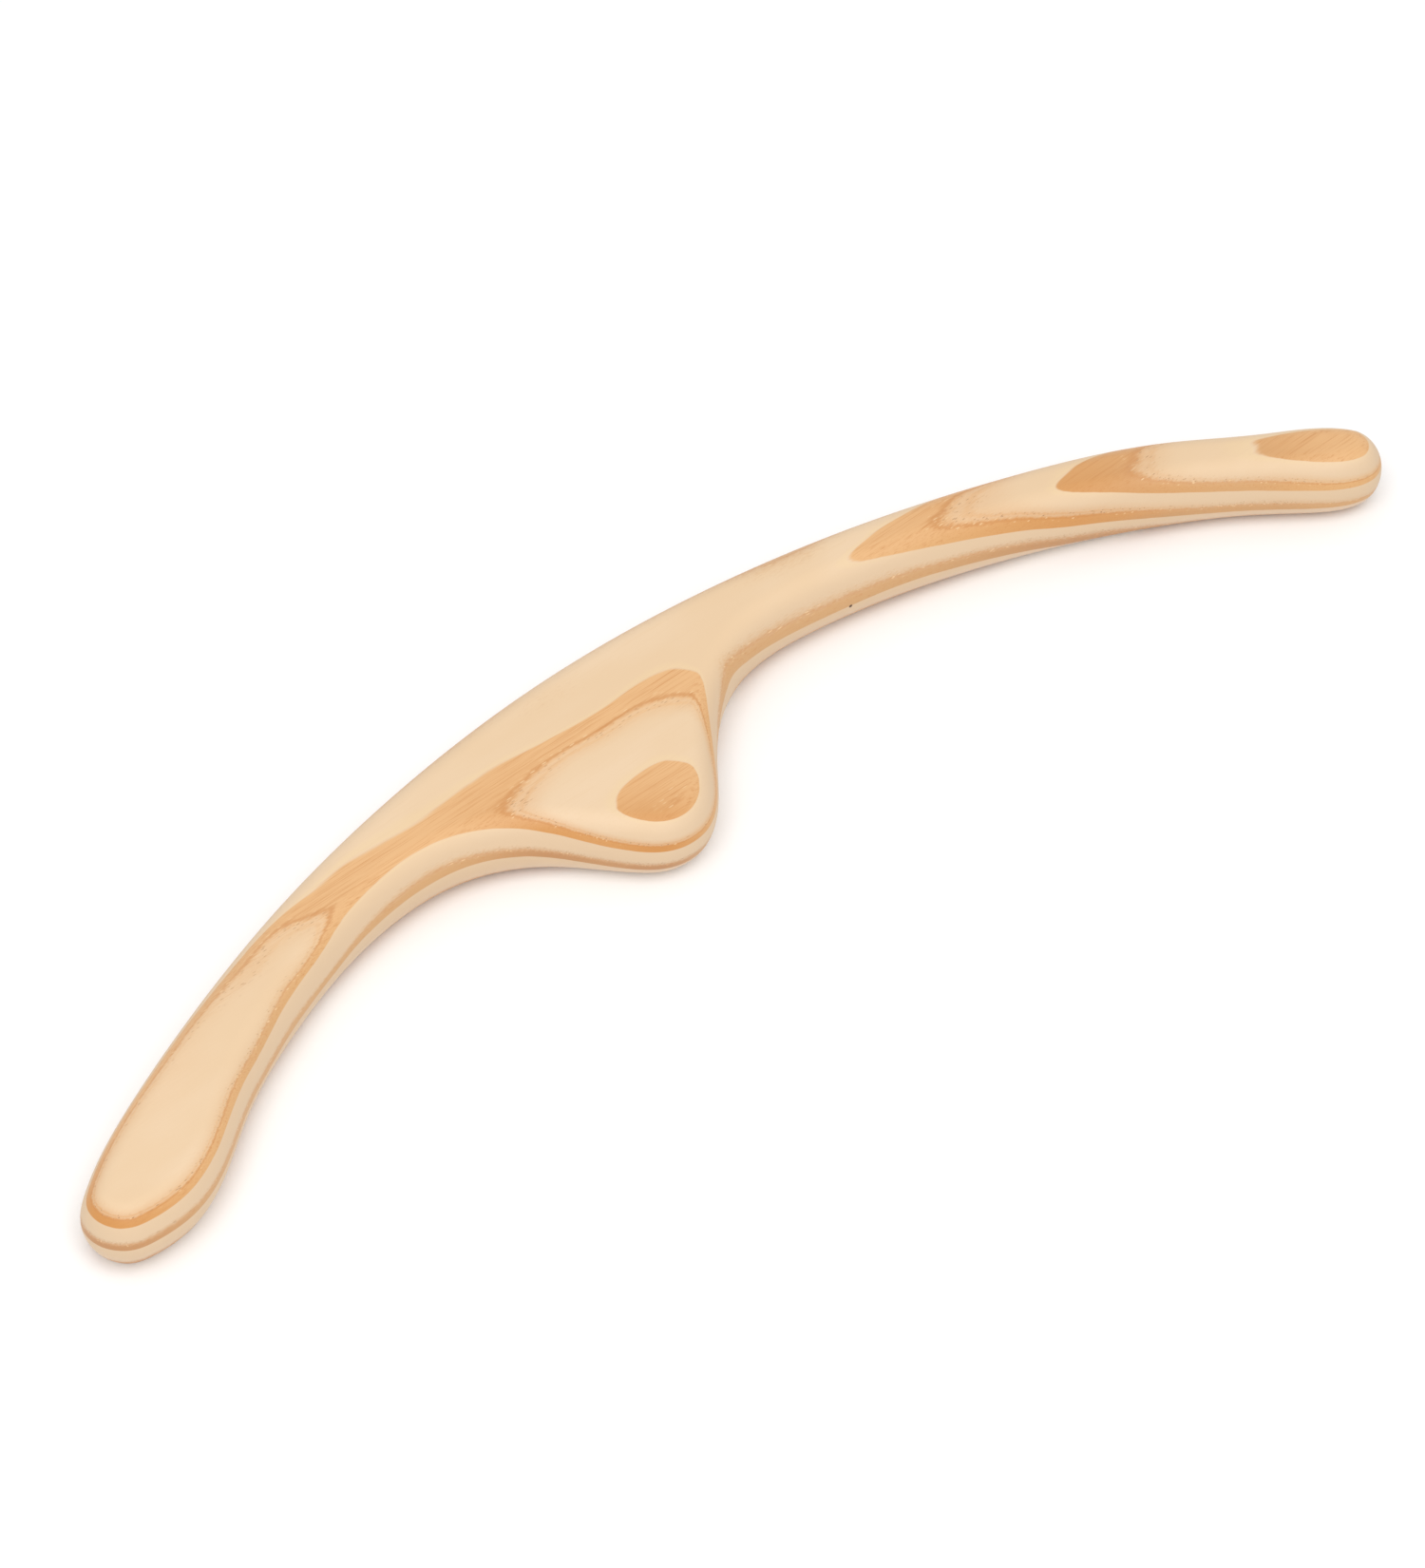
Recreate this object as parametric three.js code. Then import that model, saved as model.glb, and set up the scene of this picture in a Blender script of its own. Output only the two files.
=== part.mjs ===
import * as THREE from 'three';

// A bow-shaped hand tool carved from one pine board: two arms that widen into paddle
// ends, and one rounded lobe on the hollow side near the middle.
// Millimetres. +X runs along the bow, +Y to its convex edge, +Z up through the board.

const BOARD_THICKNESS = 19;
const EDGE_ROUNDING = 7.6;
const EDGE_STEPS = 6;
const MAX_TURN = THREE.MathUtils.degToRad(7);
const LONGEST_STEP = 7;
const TANGENT_SWEEPS = 80;
const PINE_COLOUR = '#edcfa6';
const PINE_ROUGHNESS = 0.55;

// The outer edge, clockwise seen from above: arcs at the three round ends, and the
// points that the smooth curve passes through between them.
const RIGHT_END = { x: 191.2, y: -34, radius: 9.3, from: 40, to: -105, points: 8 };
const RIGHT_ARM_INNER = [[176, -35.6], [164, -26], [150, -17], [120, -2], [88, 9.4], [57, 16]];
const LOBE_RIGHT_FLANK = [[36, 16.1], [18.5, 8.3], [4, -5.6]];
const LOBE_TIP = { x: -17.2, y: -3.6, radius: 17.2, from: -40, to: -145, points: 4 };
const LOBE_LEFT_FLANK = [[-46, 2.2], [-60, 9.6]];
const LEFT_ARM_INNER = [[-84, 11.1], [-119, 1.6], [-149, -13.4], [-165, -24.2], [-177, -29.2]];
const LEFT_END = { x: -188.4, y: -18.9, radius: 10.8, from: -90, to: -240, points: 6 };
const CONVEX_EDGE = [
  [-170, 4.1], [-140, 16.7], [-105, 28.4], [-62, 37.7], [-14, 42.2],
  [36, 39.4], [80, 31], [124, 17], [161, -0.6], [180, -13.8],
];

function arcPoints({ x, y, radius, from, to, points }) {
  const rows = [];
  for (let i = 0; i < points; i += 1) {
    const angle = THREE.MathUtils.degToRad(from + ((to - from) * i) / (points - 1));
    rows.push([x + radius * Math.cos(angle), y + radius * Math.sin(angle)]);
  }
  return rows;
}

function outlinePoints() {
  const rows = [
    ...arcPoints(RIGHT_END),
    ...RIGHT_ARM_INNER,
    ...LOBE_RIGHT_FLANK,
    ...arcPoints(LOBE_TIP),
    ...LOBE_LEFT_FLANK,
    ...LEFT_ARM_INNER,
    ...arcPoints(LEFT_END),
    ...CONVEX_EDGE,
  ];
  return rows.map(([x, y]) => new THREE.Vector2(x, y));
}

// Tangents of the closed cubic spline whose curvature runs on smoothly through every point.
function splineTangents(points, lengths) {
  const count = points.length;
  const tangents = points.map(() => new THREE.Vector2());
  for (let sweep = 0; sweep < TANGENT_SWEEPS; sweep += 1) {
    for (let i = 0; i < count; i += 1) {
      const before = (i + count - 1) % count;
      const after = (i + 1) % count;
      const a = lengths[before];
      const b = lengths[i];
      const back = points[i].clone().sub(points[before]).multiplyScalar(3 / (a * a));
      const ahead = points[after].clone().sub(points[i]).multiplyScalar(3 / (b * b));
      const sum = back.add(ahead);
      sum.addScaledVector(tangents[before], -1 / a);
      sum.addScaledVector(tangents[after], -1 / b);
      tangents[i].copy(sum.divideScalar(2 / a + 2 / b));
    }
  }
  return tangents;
}

// Position and outward normal at t (0 to 1) on the span from p to q, tangents m and n.
function spanPoint(p, q, m, n, length, t) {
  const t2 = t * t;
  const t3 = t2 * t;
  const position = new THREE.Vector2()
    .addScaledVector(p, 2 * t3 - 3 * t2 + 1)
    .addScaledVector(q, 3 * t2 - 2 * t3)
    .addScaledVector(m, (t3 - 2 * t2 + t) * length)
    .addScaledVector(n, (t3 - t2) * length);
  const direction = new THREE.Vector2()
    .addScaledVector(p, (6 * t2 - 6 * t) / length)
    .addScaledVector(q, (6 * t - 6 * t2) / length)
    .addScaledVector(m, 3 * t2 - 4 * t + 1)
    .addScaledVector(n, 3 * t2 - 2 * t)
    .normalize();
  return { position, normal: new THREE.Vector2(-direction.y, direction.x) };
}

function turnBetween(a, b) {
  return Math.abs(Math.atan2(a.cross(b), a.dot(b)));
}

// The outer edge as close stations, finer where it turns sharply, counter-clockwise.
function edgeStations() {
  const points = outlinePoints();
  const count = points.length;
  const lengths = points.map((p, i) => p.distanceTo(points[(i + 1) % count]));
  const tangents = splineTangents(points, lengths);
  const stations = [];
  for (let i = 0; i < count; i += 1) {
    const after = (i + 1) % count;
    const turn = turnBetween(tangents[i], tangents[after]);
    const steps = Math.max(Math.ceil(turn / MAX_TURN), Math.ceil(lengths[i] / LONGEST_STEP));
    for (let step = 0; step < steps; step += 1) {
      stations.push(spanPoint(
        points[i], points[after], tangents[i], tangents[after], lengths[i], step / steps,
      ));
    }
  }
  return stations.reverse();
}

// One level loop of the body, set in from the outer edge and raised to its height.
function levelLoop(stations, angle) {
  const inset = EDGE_ROUNDING * (1 - Math.cos(angle));
  const height = (BOARD_THICKNESS / 2) * (1 + Math.sin(angle));
  return stations.map(({ position, normal }) => new THREE.Vector3(
    position.x - inset * normal.x,
    position.y - inset * normal.y,
    height,
  ));
}

function bodyGeometry() {
  const stations = edgeStations();
  const count = stations.length;
  const vertices = [];
  const triangles = [];
  for (let step = -EDGE_STEPS; step <= EDGE_STEPS; step += 1) {
    vertices.push(...levelLoop(stations, (Math.PI / 2) * (step / EDGE_STEPS)));
  }
  for (let loop = 0; loop < 2 * EDGE_STEPS; loop += 1) {
    for (let i = 0; i < count; i += 1) {
      const a = loop * count + i;
      const b = loop * count + ((i + 1) % count);
      triangles.push(a, b, a + count);
      triangles.push(b, b + count, a + count);
    }
  }
  const top = 2 * EDGE_STEPS * count;
  const rim = vertices.slice(top).map((v) => new THREE.Vector2(v.x, v.y));
  for (const [a, b, c] of THREE.ShapeUtils.triangulateShape(rim, [])) {
    triangles.push(top + a, top + b, top + c);
    triangles.push(a, c, b);
  }
  const geometry = new THREE.BufferGeometry().setFromPoints(vertices);
  geometry.setIndex(triangles);
  centreOverOrigin(geometry);
  geometry.computeVertexNormals();
  return geometry;
}

function centreOverOrigin(geometry) {
  geometry.computeBoundingBox();
  const middle = geometry.boundingBox.getCenter(new THREE.Vector3());
  geometry.translate(-middle.x, -middle.y, 0);
}

function pine() {
  return new THREE.MeshStandardMaterial({ color: PINE_COLOUR, roughness: PINE_ROUGHNESS });
}

function carvedBody() {
  const mesh = new THREE.Mesh(bodyGeometry(), pine());
  mesh.name = 'carved_body';
  return mesh;
}

const part = new THREE.Group();
part.add(carvedBody());

export default part;
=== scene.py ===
"""Looks for the bow-shaped pine hand tool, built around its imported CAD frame."""

import math

import bpy
import numpy as np
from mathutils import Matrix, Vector


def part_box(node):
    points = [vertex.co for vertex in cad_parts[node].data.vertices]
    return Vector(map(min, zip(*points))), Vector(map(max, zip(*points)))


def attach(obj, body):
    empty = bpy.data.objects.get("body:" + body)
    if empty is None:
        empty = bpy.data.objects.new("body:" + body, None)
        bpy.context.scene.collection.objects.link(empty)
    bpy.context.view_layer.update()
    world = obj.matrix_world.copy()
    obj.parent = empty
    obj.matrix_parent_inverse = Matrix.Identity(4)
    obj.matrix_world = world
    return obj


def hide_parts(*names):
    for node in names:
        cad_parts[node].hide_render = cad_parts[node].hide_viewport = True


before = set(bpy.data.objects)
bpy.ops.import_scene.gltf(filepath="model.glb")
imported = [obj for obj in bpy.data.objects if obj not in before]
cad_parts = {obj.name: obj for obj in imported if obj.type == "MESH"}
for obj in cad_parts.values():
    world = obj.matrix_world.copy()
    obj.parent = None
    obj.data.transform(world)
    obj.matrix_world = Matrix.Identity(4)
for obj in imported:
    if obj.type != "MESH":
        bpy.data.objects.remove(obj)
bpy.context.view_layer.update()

MM = 0.001

# ---------------------------------------------------------------- body outline, millimetres
RIGHT_END = dict(x=191.2, y=-34, radius=9.3, start=40, stop=-105, points=8)
RIGHT_ARM_INNER = [(176, -35.6), (164, -26), (150, -17), (120, -2), (88, 9.4), (57, 16)]
LOBE_RIGHT_FLANK = [(36, 16.1), (18.5, 8.3), (4, -5.6)]
LOBE_TIP = dict(x=-17.2, y=-3.6, radius=17.2, start=-40, stop=-145, points=4)
LOBE_LEFT_FLANK = [(-46, 2.2), (-60, 9.6)]
LEFT_ARM_INNER = [(-84, 11.1), (-119, 1.6), (-149, -13.4), (-165, -24.2), (-177, -29.2)]
LEFT_END = dict(x=-188.4, y=-18.9, radius=10.8, start=-90, stop=-240, points=6)
CONVEX_EDGE = [
    (-170, 4.1), (-140, 16.7), (-105, 28.4), (-62, 37.7), (-14, 42.2),
    (36, 39.4), (80, 31), (124, 17), (161, -0.6), (180, -13.8),
]
EDGE_ROUNDING = 7.6
STATION_STEP = 1.2
EDGE_STEPS = 16
TANGENT_SWEEPS = 80


def arc_points(x, y, radius, start, stop, points):
    angles = np.radians(np.linspace(start, stop, points))
    return [(x + radius * math.cos(a), y + radius * math.sin(a)) for a in angles]


def outline_points():
    rows = (
        arc_points(**RIGHT_END) + RIGHT_ARM_INNER + LOBE_RIGHT_FLANK + arc_points(**LOBE_TIP)
        + LOBE_LEFT_FLANK + LEFT_ARM_INNER + arc_points(**LEFT_END) + CONVEX_EDGE
    )
    return np.array(rows, float)


def spline_tangents(points, lengths):
    """Tangents of the closed cubic spline with smooth curvature through every point."""
    count = len(points)
    tangents = np.zeros_like(points)
    for _ in range(TANGENT_SWEEPS):
        for i in range(count):
            before, after = i - 1, (i + 1) % count
            a, b = lengths[before], lengths[i]
            pull = 3 * (points[i] - points[before]) / a**2 + 3 * (points[after] - points[i]) / b**2
            pull -= tangents[before] / a + tangents[after] / b
            tangents[i] = pull / (2 / a + 2 / b)
    return tangents


def edge_stations():
    """Positions and outward normals along the outer edge, counter-clockwise."""
    points = outline_points()
    ahead = np.roll(points, -1, axis=0)
    lengths = np.linalg.norm(ahead - points, axis=1)
    tangents = spline_tangents(points, lengths)
    places, normals = [], []
    for i, length in enumerate(lengths):
        p, q, m, n = points[i], ahead[i], tangents[i], tangents[(i + 1) % len(points)]
        steps = max(4, math.ceil(length / STATION_STEP))
        for t in np.arange(steps) / steps:
            places.append(
                (2 * t**3 - 3 * t**2 + 1) * p + (3 * t**2 - 2 * t**3) * q
                + (t**3 - 2 * t**2 + t) * length * m + (t**3 - t**2) * length * n
            )
            way = (
                (6 * t**2 - 6 * t) / length * (p - q)
                + (3 * t**2 - 4 * t + 1) * m + (3 * t**2 - 2 * t) * n
            )
            way /= np.linalg.norm(way)
            normals.append((-way[1], way[0]))
    places = np.array(places)[::-1]
    normals = np.array(normals)[::-1]
    places -= (places.max(axis=0) + places.min(axis=0)) / 2
    return places, normals


def body_mesh(thickness):
    """The carved body: level loops set in from the edge by an elliptical rounding, then capped."""
    places, normals = edge_stations()
    count = len(places)
    loops = []
    for angle in np.linspace(-math.pi / 2, math.pi / 2, 2 * EDGE_STEPS + 1):
        inset = EDGE_ROUNDING * (1 - math.cos(angle))
        height = thickness / 2 * (1 + math.sin(angle))
        loops.append(np.column_stack([places - inset * normals, np.full(count, height)]))
    vertices = np.concatenate(loops) * MM
    faces = []
    for loop in range(2 * EDGE_STEPS):
        for i in range(count):
            a = loop * count + i
            b = loop * count + (i + 1) % count
            faces.append((a, b, b + count, a + count))
    top = 2 * EDGE_STEPS * count
    faces.append(tuple(range(top, top + count)))
    faces.append(tuple(range(count - 1, -1, -1)))
    mesh = bpy.data.meshes.new("carved_body_skin")
    mesh.from_pydata(vertices.tolist(), [], faces)
    mesh.shade_smooth()
    return mesh


# ---------------------------------------------------------------- colours
def linear(red, green, blue):
    """A display colour (0 to 255 a channel) as a linear one."""
    def channel(value):
        value /= 255
        return value / 12.92 if value <= 0.04045 else ((value + 0.055) / 1.055) ** 2.4
    return (channel(red), channel(green), channel(blue), 1.0)


# ---------------------------------------------------------------- pine: growth rings
# The count of growth rings rises by one a ring, over millimetres from the body's middle.
RING_AT_ORIGIN = 0.097
RINGS_ALONG = 0.00162
RINGS_ACROSS = -0.00827
RINGS_UP = 0.1226
RING_BOW = 0.0000108
RING_TWIST = -0.000035
RING_CROWDING = 0.00128
RING_LEAN = -0.0009
# (x, y, radius, rise in rings) of gentle swells in the rings.
RING_SWELLS = [
    (-188, -55, 24, -0.42),
    (-17, -4, 18, 0.70),
    (-16, 37, 14, -0.53),
    (-15, 55, 14, 1.07),
    (26, 6, 14, -0.33),
    (55, 1, 15, 1.30),
    (59, 22, 14, -0.64),
    (174, 9, 31, 0.88),
    (22, 17, 4, -0.13),
    (27, 15, 4, -0.06),
    (-3, -4, 3.5, -0.07),
    (-8, 25, 9, -0.03),
    (-16, 10, 6, -0.09),
    (-19, 3, 4, -0.02),
    (78, 13, 9, -0.06),
    (-113, 8, 9, 0.12),
    (-138, -2, 9, 0.15),
    (92, 30, 8, -0.25),
    (125, 1, 6, 0.08),
    (141, 13, 8, -0.18),
    (-104, 29, 8, -0.07),
    (172, -22, 5, -0.02),
]
# A fine waver of the ring lines, in rings.
RING_WAVER = 0.04
WAVER_SCALE = (0.05, 0.25, 0.3)
# A ring begins at this fraction of the count, with dense latewood that fades upwards.
RING_EDGE = 0.97
# The latewood's share of a ring, and (x, y, radius, change) where it is thinner or thicker.
LATEWOOD_SHARE = 0.29
SHARE_SWELLS = [
    (-106, 17, 16, -0.105),
    (114, 4, 28, 0.15),
    (150, 3, 12, 0.12),
    (147, 1, 7, 0.09),
    (168, -29, 13, 0.15),
]
# The rings below the first begin later and keep more latewood towards the convex edge.
LOW_RING_BLEND = 0.1
LOW_RING_DELAY = 0.12
LOW_RING_GAIN = dict(low=8, high=18, out_low=0.05, out_high=0.20)
# (x, y, radius, amount) of places where the latewood is browner and fades evenly, without its
# second line. The rings below the first are like that too, and so is the lower wood, as a
# smooth step (from height, to height, amount at from, amount at to).
SOFT_SPOTS = [
    (-132, -3, 17, 0.8),
    (161, -24, 11, 0.8),
    (143, -9, 8, 0.3),
]
SOFT_BELOW = (-3.0, 1.5, 0.75, 0.0)
# (x, y, radius, depth) of places where the latewood is darker, mostly wood richer in resin.
RICH_SPOTS = [
    (-48, -3, 11, 0.9),
    (-28, -21, 9, 1.0),
    # Darker latewood towards the right arm's front edge.
    (124, -7, 22, 0.75),
    (-196, -21, 12, 0.9),
    (175, -24, 7, 0.3),
]
# The knot's z is its height above the underside.
PIN_KNOT = dict(x=66, y=15.1, z=8.3)
PIN_KNOT_RADIUS = 0.6
PIN_KNOT_CORE = 0.6

# Noise and spot patterns, as cells to the millimetre along, across and up.
FIBRE_SCALE = (0.035, 1.6, 1.6)
HAIR_SCALE = (0.12, 5.0, 5.0)
HAIRLINE_SCALE = (0.04, 3.4, 3.4)
SPECKLE_SCALE = (0.6, 3.0, 3.0)
TONE_SCALE = (0.02, 0.06, 0.06)
CANAL_SCALE = (0.30, 1.6, 1.6)
FLECK_SCALE = (0.45, 2.4, 2.4)
ROUGH_NOISE = 0.6
SPOT_RADIUS = 0.32
CANALS_KEPT = 0.5
FLECKS_KEPT = 0.6

# How the latewood's inner side frays, as shares of its depth.
FIBRE_FRAY = 0.24
SPECKLE_FRAY = 0.22
SOFT_FRAY = 0.4
# Smooth steps over the latewood's depth, as (from, to, amount at from, amount at to), and bands
# over it, as (start, middle, end).
SOLID_WOOD = (0.80, 1.04, 0.56, 0.0)
FADING_WOOD = (0.95, 1.8, 0.44, 0.0)
SOFT_WOOD = (0.50, 1.30, 1.0, 0.0)
SECOND_LINE = (1.02, 1.12, 1.24)
SECOND_LINE_DEPTH = 0.24
DARK_LINE = (0.66, 0.80, 0.93)
DARK_LINE_DEPTH = 0.65
CANAL_BAND = (0.50, 0.80, 1.05)
CANAL_DEPTH = 0.6
FLECK_BAND = (0.75, 0.98, 1.40)
FLECK_DEPTH = 0.6
FLECK_DEPTH_LOW_RING = -0.4
FLECK_DEPTH_RICH = 0.5
BROWN_DEPTH = 0.85
BROWN_RICH_DEPTH = 0.8
# Smooth steps over the part of the ring that is passed.
OUTER_EDGE = (0.0, 0.02)
BELOW_NEXT_RING = (0.90, 0.99, 0.0, 0.4)
# Smooth steps over the noises.
TONE_PATCHES = (-0.15, 0.15)
CREAM_STREAKS = (0.0, 0.35, 0.0, 0.8)
LATEWOOD_STREAKS = (-0.05, 0.35, 0.0, 0.5)
HAIRLINES = (0.06, 0.20, 0.0, 0.6)
# Smooth steps over how level the surface is, which set painted shade on the sides, and over how much
# it faces up, which sets a painted floor reflection on faces turned down.
CREAM_SHADE_ON_SIDES = (0.45, 1.0, 0.9, 0.0)
LATEWOOD_SHADE_ON_SIDES = (0.45, 0.97, 0.7, 0.0)
FLOOR_REFLECTION_ON_UNDERSIDE = (-0.7, -0.1, 0.9, 0.0)

# ---------------------------------------------------------------- pine: colours and surface
CREAM = linear(227, 199, 165)
CREAM_WARM = linear(224, 194, 157)
CREAM_EDGE = linear(230, 202, 157)
# Painted shade: the cream made darker on the sides.
CREAM_PAINTED_SHADE = linear(214, 186, 153)
# Painted floor reflection: a paler, pinker cream for faces turned down.
CREAM_PAINTED_FLOOR_REFLECTION = linear(222, 198, 174)
LATEWOOD = linear(223, 176, 124)
# Painted shade: the latewood made darker on the sides.
LATEWOOD_PAINTED_SHADE = linear(211, 162, 106)
LATEWOOD_LINE = linear(197, 135, 77)
LATEWOOD_DEEP = linear(200, 137, 71)
LATEWOOD_LOW = linear(204, 159, 110)
LATEWOOD_BROWN = linear(176, 125, 84)
CANAL = linear(240, 212, 166)
FLECK = linear(158, 112, 74)
KNOT = linear(84, 52, 30)
ROUGHNESS_CREAM = 0.52
ROUGHNESS_CHANGE = -0.07
SPECULAR_LEVEL = 0.4
RELIEF_STRENGTH = 0.35
RELIEF_MM = 0.06
RELIEF_OF_LATEWOOD = 0.5
RELIEF_OF_HAIR = 0.5


class Nodes:
    """Short calls for building a node tree."""

    def __init__(self, tree):
        self.tree = tree

    def add(self, kind, inputs=(), **settings):
        node = self.tree.nodes.new(kind)
        for name, value in settings.items():
            setattr(node, name, value)
        for key, value in dict(inputs).items():
            self.put(node.inputs[key], value)
        return node

    def put(self, socket, value):
        if isinstance(value, bpy.types.NodeSocket):
            self.tree.links.new(value, socket)
        else:
            socket.default_value = value

    def math(self, operation, a, b=0.0, c=0.0):
        node = self.add("ShaderNodeMath", {0: a, 1: b, 2: c}, operation=operation)
        return node.outputs[0]

    def product(self, *values):
        result = values[0]
        for value in values[1:]:
            result = self.math("MULTIPLY", result, value)
        return result

    def ramp(self, value, low, high, out_low=0.0, out_high=1.0):
        """Smooth step of value from low to high, as out_low to out_high."""
        node = self.add(
            "ShaderNodeMapRange",
            {
                "Value": value, "From Min": low, "From Max": high,
                "To Min": out_low, "To Max": out_high,
            },
            interpolation_type="SMOOTHSTEP",
        )
        return node.outputs["Result"]

    def band(self, value, low, middle, high):
        """One at middle, falling to nothing at low and high."""
        rise = self.ramp(value, low, middle)
        fall = self.ramp(value, middle, high, 1.0, 0.0)
        return self.math("MULTIPLY", rise, fall)

    def mix(self, amount, a, b):
        node = self.add("ShaderNodeMix", {0: amount, 6: a, 7: b}, data_type="RGBA")
        return node.outputs[2]

    def stretch(self, coordinates, x, y, z):
        node = self.add("ShaderNodeVectorMath", {0: coordinates, 1: (x, y, z)}, operation="MULTIPLY")
        return node.outputs[0]

    def split(self, coordinates):
        node = self.add("ShaderNodeSeparateXYZ", {0: coordinates})
        return node.outputs[0], node.outputs[1], node.outputs[2]

    def distance(self, coordinates, x, y, z):
        node = self.add("ShaderNodeVectorMath", {0: coordinates, 1: (x, y, z)}, operation="DISTANCE")
        return node.outputs["Value"]

    def swell(self, coordinates, x, y, radius):
        """A round hill of height one over (x, y), given coordinates flattened to z 0."""
        near = self.math("MULTIPLY", self.distance(coordinates, x, y, 0), 1 / radius)
        return self.math("EXPONENT", self.product(near, near, -0.5))

    def noise(self, coordinates, detail=2.0, roughness=0.5):
        """Noise centred on zero."""
        node = self.add(
            "ShaderNodeTexNoise",
            {"Vector": coordinates, "Scale": 1.0, "Detail": detail, "Roughness": roughness},
        )
        return self.math("SUBTRACT", node.outputs["Fac"], 0.5)

    def dashes(self, coordinates, radius, kept):
        """Scattered spots, one in each kept cell of a random lattice."""
        cells = self.add("ShaderNodeTexVoronoi", {"Vector": coordinates, "Scale": 1.0})
        spot = self.ramp(cells.outputs["Distance"], radius * 0.5, radius, 1.0, 0.0)
        chance = self.add("ShaderNodeSeparateColor", {0: cells.outputs["Color"]}).outputs[0]
        return self.math("MULTIPLY", spot, self.math("LESS_THAN", chance, kept))


def swells(n, flat, hills, start):
    """Start plus every (x, y, radius, rise) hill."""
    total = start
    for x, y, radius, rise in hills:
        total = n.math("MULTIPLY_ADD", n.swell(flat, x, y, radius), rise, total)
    return total


def ring_count(n, place, flat, x, y, z):
    """Number of growth rings passed at each point of the wood."""
    count = swells(n, flat, RING_SWELLS, RING_AT_ORIGIN)
    for factor, value in (
        (RINGS_ALONG, x),
        (RINGS_ACROSS, y),
        (RINGS_UP, z),
        (RING_BOW, n.product(x, x)),
        (RING_TWIST, n.product(x, y)),
        (RING_CROWDING, n.product(z, z)),
        (RING_LEAN, n.product(y, z)),
    ):
        count = n.math("MULTIPLY_ADD", value, factor, count)
    waver = n.noise(n.stretch(place, *WAVER_SCALE))
    return n.math("MULTIPLY_ADD", waver, RING_WAVER, count)


class Grain:
    """The wood's values at each point, which its colour, roughness and relief are made from."""

    def __init__(self, n, place, up):
        flat = n.stretch(place, 1, 1, 0)
        x, y, z = n.split(place)
        count = ring_count(n, place, flat, x, y, z)
        self.place = place
        self.up = up
        self.level = n.math("ABSOLUTE", up)
        self.fibre = n.noise(n.stretch(place, *FIBRE_SCALE), 3.0, ROUGH_NOISE)
        self.hair = n.noise(n.stretch(place, *HAIR_SCALE), 2.0, ROUGH_NOISE)
        self.speckle = n.noise(n.stretch(place, *SPECKLE_SCALE), 2.0, ROUGH_NOISE)
        self.low_ring = n.ramp(count, RING_EDGE - LOW_RING_BLEND, RING_EDGE, 1.0, 0.0)
        self.rich = swells(n, flat, RICH_SPOTS, 0.0)
        self.part = self.part_of_ring(n, count)
        self.inward = self.depth_in_latewood(n, flat, y)
        low_wood = n.math("MAXIMUM", self.low_ring, n.ramp(z, *SOFT_BELOW))
        self.softness = n.math("MINIMUM", swells(n, flat, SOFT_SPOTS, low_wood), 1.0)
        self.latewood = self.latewood_amount(n)

    def part_of_ring(self, n, count):
        """Part of the current ring that is passed, 0 to 1."""
        begun = n.math("ADD", count, 1 - RING_EDGE)
        return n.math("FRACT", n.math("MULTIPLY_ADD", self.low_ring, -LOW_RING_DELAY, begun))

    def depth_in_latewood(self, n, flat, y):
        """Depth below the ring's edge, frayed, and 1 where the latewood's share ends."""
        share = swells(n, flat, SHARE_SWELLS, LATEWOOD_SHARE)
        share = n.math("MULTIPLY_ADD", self.low_ring, n.ramp(y, **LOW_RING_GAIN), share)
        depth = n.math("DIVIDE", self.part, share)
        depth = n.math("MULTIPLY_ADD", self.speckle, SPECKLE_FRAY, depth)
        return n.math("MULTIPLY_ADD", self.fibre, FIBRE_FRAY, depth)

    def latewood_amount(self, n):
        solid = n.ramp(self.inward, *SOLID_WOOD)
        second_line = n.product(n.band(self.inward, *SECOND_LINE), SECOND_LINE_DEPTH)
        fading = n.ramp(self.inward, *FADING_WOOD)
        crisp = n.math("ADD", n.math("ADD", solid, second_line), fading)
        soft = n.ramp(n.math("MULTIPLY_ADD", self.speckle, SOFT_FRAY, self.inward), *SOFT_WOOD)
        amount = n.math("MULTIPLY_ADD", self.softness, n.math("SUBTRACT", soft, crisp), crisp)
        return n.product(n.ramp(self.part, *OUTER_EDGE), amount)


def cream_colour(n, grain):
    """Earlywood: pale, warmer in patches and streaks, yellower just below the next ring; painted
    shade darkens it on the sides and a painted floor reflection pales it on faces turned down.
    """
    tone = n.noise(n.stretch(grain.place, *TONE_SCALE))
    streaks = n.math("ADD", grain.fibre, grain.hair)
    colour = n.mix(n.ramp(tone, *TONE_PATCHES), CREAM, CREAM_WARM)
    colour = n.mix(n.ramp(grain.part, *BELOW_NEXT_RING), colour, CREAM_EDGE)
    colour = n.mix(n.ramp(streaks, *CREAM_STREAKS), colour, CREAM_WARM)
    # Painted shade: darker cream where the surface turns to the sides.
    colour = n.mix(n.ramp(grain.level, *CREAM_SHADE_ON_SIDES), colour, CREAM_PAINTED_SHADE)
    # Painted floor reflection: paler cream where the surface faces down.
    return n.mix(n.ramp(grain.up, *FLOOR_REFLECTION_ON_UNDERSIDE), colour, CREAM_PAINTED_FLOOR_REFLECTION)


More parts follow.
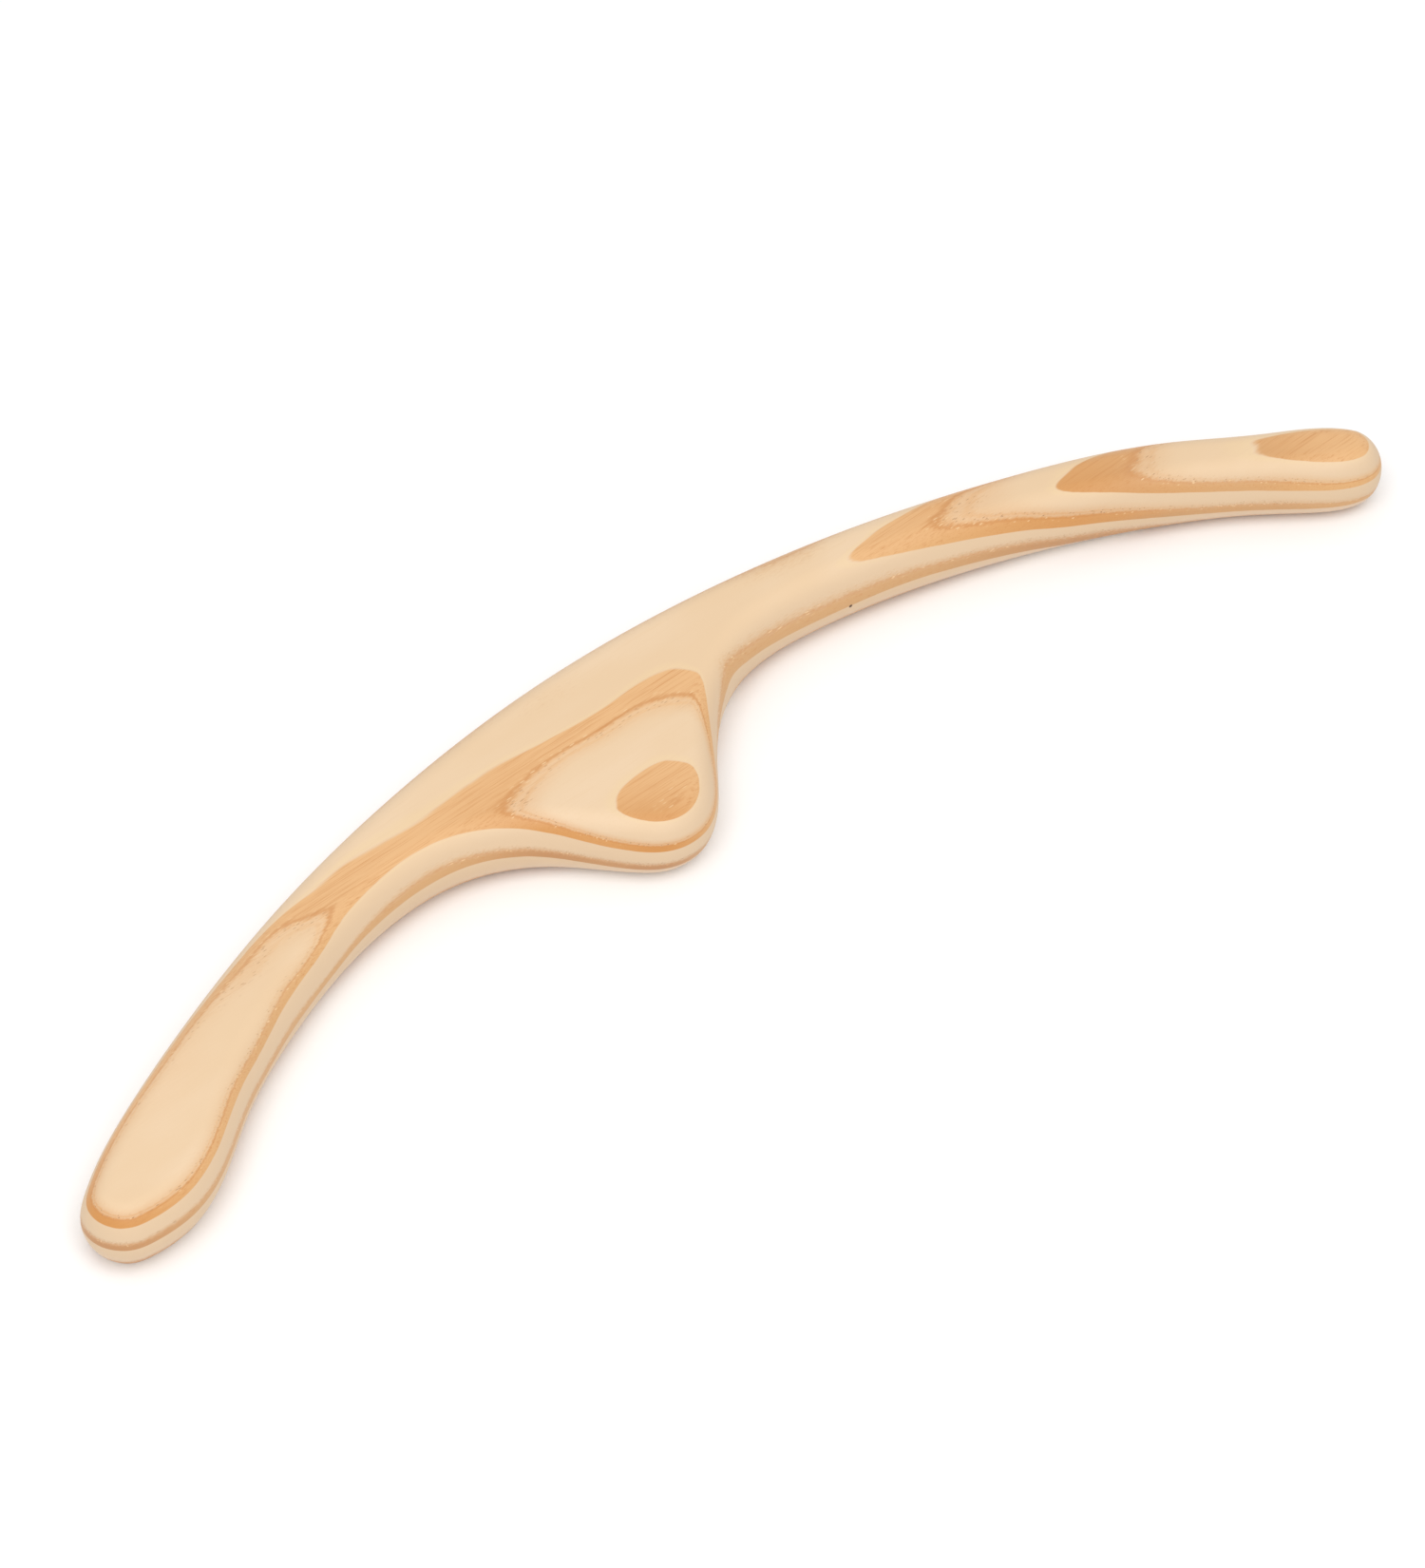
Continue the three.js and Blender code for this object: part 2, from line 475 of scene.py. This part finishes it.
def latewood_colour(n, grain):
    """Latewood: orange, with streaks, richer and browner places, a dark inner line, and painted
    shade on the sides.
    """
    streaks = n.math("ADD", grain.fibre, grain.hair)
    hairline = n.noise(n.stretch(grain.place, *HAIRLINE_SCALE), 2.0, ROUGH_NOISE)
    colour = n.mix(n.ramp(streaks, *LATEWOOD_STREAKS), LATEWOOD, LATEWOOD_LINE)
    # Painted shade: darker latewood where the surface turns to the sides.
    colour = n.mix(n.ramp(grain.level, *LATEWOOD_SHADE_ON_SIDES), colour, LATEWOOD_PAINTED_SHADE)
    colour = n.mix(grain.rich, colour, LATEWOOD_DEEP)
    brown = n.mix(n.product(grain.rich, BROWN_RICH_DEPTH), LATEWOOD_LOW, LATEWOOD_BROWN)
    colour = n.mix(n.product(grain.softness, BROWN_DEPTH), colour, brown)
    dark_line = n.product(n.band(grain.inward, *DARK_LINE), DARK_LINE_DEPTH)
    colour = n.mix(dark_line, colour, LATEWOOD_LINE)
    return n.mix(n.ramp(hairline, *HAIRLINES), colour, LATEWOOD_LINE)


def with_canals(n, grain, colour):
    """Pale resin canals inside the latewood."""
    canals = n.dashes(n.stretch(grain.place, *CANAL_SCALE), SPOT_RADIUS, CANALS_KEPT)
    return n.mix(n.product(canals, n.band(grain.inward, *CANAL_BAND), CANAL_DEPTH), colour, CANAL)


def with_flecks(n, grain, colour):
    """Short dark flecks along the latewood's inner side."""
    flecks = n.dashes(n.stretch(grain.place, *FLECK_SCALE), SPOT_RADIUS, FLECKS_KEPT)
    depth = n.math("MULTIPLY_ADD", grain.rich, FLECK_DEPTH_RICH, FLECK_DEPTH)
    depth = n.math("MULTIPLY_ADD", grain.low_ring, FLECK_DEPTH_LOW_RING, depth)
    return n.mix(n.product(flecks, n.band(grain.inward, *FLECK_BAND), depth), colour, FLECK)


def with_pin_knot(n, millimetres, colour):
    gap = n.distance(millimetres, **PIN_KNOT)
    knot = n.ramp(gap, PIN_KNOT_RADIUS * PIN_KNOT_CORE, PIN_KNOT_RADIUS, 1.0, 0.0)
    return n.mix(knot, colour, KNOT)


def relief_normal(n, grain):
    """Fibres and latewood stand up by hundredths of a millimetre."""
    height = n.math("MULTIPLY_ADD", grain.latewood, RELIEF_OF_LATEWOOD, grain.fibre)
    height = n.math("MULTIPLY_ADD", grain.hair, RELIEF_OF_HAIR, height)
    bump = n.add(
        "ShaderNodeBump",
        {"Height": height, "Strength": RELIEF_STRENGTH, "Distance": RELIEF_MM * MM},
    )
    return bump.outputs[0]


def pine_material(half_thickness):
    material = bpy.data.materials.new("pine")
    material.use_nodes = True
    tree = material.node_tree
    tree.nodes.clear()
    n = Nodes(tree)
    source = n.add("ShaderNodeTexCoord")
    millimetres = n.stretch(source.outputs["Object"], 1 / MM, 1 / MM, 1 / MM)
    lowered = n.add(
        "ShaderNodeVectorMath", {0: millimetres, 1: (0, 0, -half_thickness)}, operation="ADD")
    up = n.split(source.outputs["Normal"])[2]
    grain = Grain(n, lowered.outputs[0], up)
    colour = n.mix(grain.latewood, cream_colour(n, grain), latewood_colour(n, grain))
    colour = with_canals(n, grain, colour)
    colour = with_flecks(n, grain, colour)
    colour = with_pin_knot(n, millimetres, colour)
    shader = n.add("ShaderNodeBsdfPrincipled", {
        "Base Color": colour,
        "Roughness": n.math("MULTIPLY_ADD", grain.latewood, ROUGHNESS_CHANGE, ROUGHNESS_CREAM),
        "Specular IOR Level": SPECULAR_LEVEL,
        "Normal": relief_normal(n, grain),
    })
    n.add("ShaderNodeOutputMaterial", {"Surface": shader.outputs[0]})
    return material


# ---------------------------------------------------------------- body
low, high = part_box("carved_body")
thickness = (high[2] - low[2]) / MM
body = bpy.data.objects.new("pine_body", body_mesh(thickness))
bpy.context.scene.collection.objects.link(body)
body.data.materials.append(pine_material(thickness / 2))
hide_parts("carved_body")
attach(body, "root")

# ---------------------------------------------------------------- floor, light and camera
FLOOR_HALF_SIDE = 6.0
FLOOR_WHITE = (0.95, 0.95, 0.95, 1)
FLOOR_ROUGHNESS = 0.9
WORLD_STRENGTH = 0.80
AZIMUTH = math.radians(-42.24)
ELEVATION = math.radians(46.46)
CAMERA_DISTANCE = 1.597
CAMERA_AIM = Vector((-0.0007, -0.0077, 0.0095))
CAMERA_LENS = 168
CAMERA_SENSOR = 36
CAMERA_REACH = 50
KEY_ELEVATION = math.radians(62)
KEY_DISTANCE = 2.0
KEY_SIDE = 1.8
KEY_WATTS = 21


def direction(azimuth, elevation):
    """Unit vector from the body towards a viewer or lamp. Azimuth 0 is its hollow side."""
    return Vector((
        math.sin(azimuth) * math.cos(elevation),
        -math.cos(azimuth) * math.cos(elevation),
        math.sin(elevation),
    ))


def facing(way):
    """Rotation of a camera or lamp that looks along the vector."""
    return way.to_track_quat("-Z", "Y").to_euler()


def floor_material():
    material = bpy.data.materials.new("floor_white")
    material.use_nodes = True
    shader = material.node_tree.nodes["Principled BSDF"]
    shader.inputs["Base Color"].default_value = FLOOR_WHITE
    shader.inputs["Roughness"].default_value = FLOOR_ROUGHNESS
    return material


def add_floor():
    side = FLOOR_HALF_SIDE
    corners = [(-side, -side, 0), (side, -side, 0), (side, side, 0), (-side, side, 0)]
    mesh = bpy.data.meshes.new("floor")
    mesh.from_pydata(corners, [], [(0, 1, 2, 3)])
    floor = bpy.data.objects.new("floor", mesh)
    floor.data.materials.append(floor_material())
    bpy.context.scene.collection.objects.link(floor)


def add_world():
    world = bpy.data.worlds.new("studio")
    world.use_nodes = True
    background = world.node_tree.nodes["Background"]
    background.inputs["Color"].default_value = (1, 1, 1, 1)
    background.inputs["Strength"].default_value = WORLD_STRENGTH
    bpy.context.scene.world = world


def add_key_softbox():
    light = bpy.data.lights.new("key_softbox", "AREA")
    light.shape = "RECTANGLE"
    light.size = KEY_SIDE
    light.size_y = KEY_SIDE
    light.energy = KEY_WATTS
    lamp = bpy.data.objects.new("key_softbox", light)
    lamp.location = direction(AZIMUTH, KEY_ELEVATION) * KEY_DISTANCE
    lamp.rotation_euler = facing(-lamp.location)
    bpy.context.scene.collection.objects.link(lamp)


def add_camera():
    camera = bpy.data.cameras.new("camera")
    camera.sensor_fit = "HORIZONTAL"
    camera.sensor_width = CAMERA_SENSOR
    camera.lens = CAMERA_LENS
    camera.clip_end = CAMERA_REACH
    back = direction(AZIMUTH, ELEVATION)
    eye = bpy.data.objects.new("camera", camera)
    eye.location = CAMERA_AIM + back * CAMERA_DISTANCE
    eye.rotation_euler = facing(-back)
    bpy.context.scene.collection.objects.link(eye)
    bpy.context.scene.camera = eye


add_floor()
add_world()
add_key_softbox()
add_camera()
bpy.context.scene.view_settings.view_transform = "Standard"
